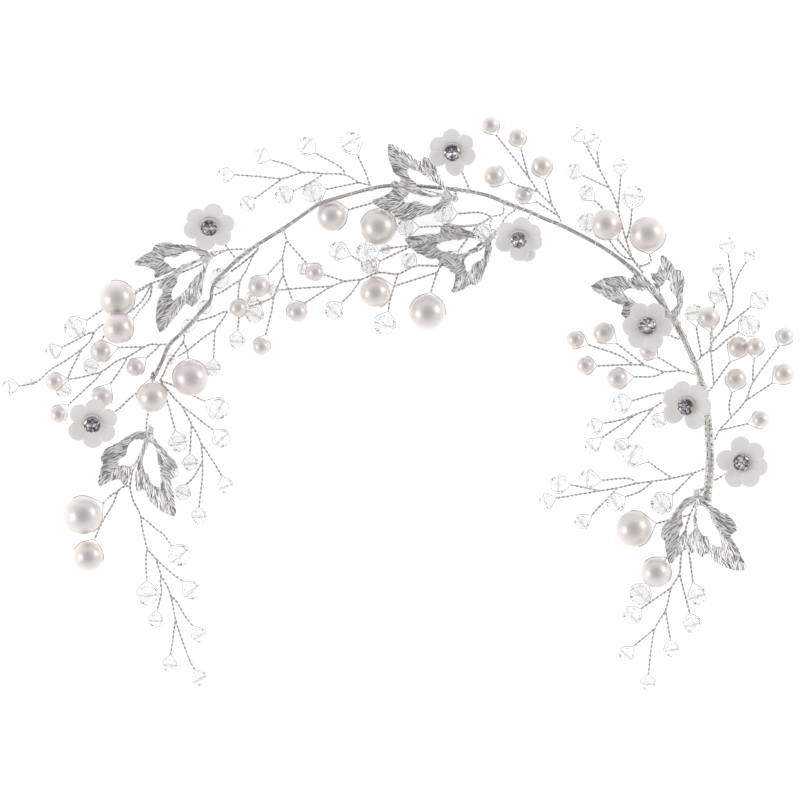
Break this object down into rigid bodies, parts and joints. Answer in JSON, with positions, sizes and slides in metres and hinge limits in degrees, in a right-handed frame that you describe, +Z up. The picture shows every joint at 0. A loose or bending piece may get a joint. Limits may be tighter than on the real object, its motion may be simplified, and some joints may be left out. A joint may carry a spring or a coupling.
{
  "type": "hair vine",
  "caption": "bridal hair vine: a wire stem in an open arch with twisted sprigs of pearls and crystals, cast leaves and resin flowers",
  "frame": {"origin": "the middle of the vine's width and height in plan, on the surface that it lies on", "axes": "+X along the width of the arch, +Y to the top of the arch, +Z up from the surface"},
  "size_m": [0.2379, 0.1726, 0.0161],
  "materials": {
    "wire": "bright twisted silver wire",
    "binding": "bright fine silver wire",
    "cup": "bright stamped metal",
    "leaf": "cast, plated silver, finely ribbed",
    "petal": "off-white resin, satin",
    "rhinestone": "cut, foiled back",
    "pearl": "ivory pearl lustre",
    "crystal": "clear, faceted, polished"
  },
  "bodies": {
    "root": {"stem": "wire", "stem_binding": "binding", "cups": "cup", "wires_left_top": "wire", "wires_left_side": "wire", "wires_left_low": "wire", "wires_left_inner": "wire", "wires_inner_left": "wire", "wires_inner_top": "wire", "wires_top_left": "wire", "wires_middle": "wire", "wires_middle_top": "wire", "wires_top_sprig": "wire", "wires_top_right": "wire", "wires_right_inner": "wire", "wires_right_outer": "wire", "wires_right_low_outer": "wire", "wires_right_low_inner": "wire", "wires_right_end": "wire", "wires_ornament": "wire", "leaf_1": "leaf", "leaf_2": "leaf", "leaf_3": "leaf", "leaf_4": "leaf", "leaf_5": "leaf", "leaf_6": "leaf", "flower_1": "petal", "flower_2": "petal", "flower_3": "petal", "flower_4": "petal", "flower_5": "petal", "flower_6": "petal", "flower_7": "petal", "rhinestone_1": "rhinestone", "rhinestone_2": "rhinestone", "rhinestone_3": "rhinestone", "rhinestone_4": "rhinestone", "rhinestone_5": "rhinestone", "rhinestone_6": "rhinestone", "rhinestone_7": "rhinestone", "pearl_1": "pearl", "pearl_2": "pearl", "pearl_3": "pearl", "pearl_4": "pearl", "pearl_5": "pearl", "pearl_6": "pearl", "pearl_7": "pearl", "pearl_8": "pearl", "pearl_9": "pearl", "pearl_10": "pearl", "pearl_11": "pearl", "pearl_12": "pearl", "pearl_13": "pearl", "pearl_14": "pearl", "pearls_left": "pearl", "pearls_middle": "pearl", "pearls_right": "pearl", "crystals_left": "crystal", "crystals_middle": "crystal", "crystals_right": "crystal"}
  },
  "joints": []
}
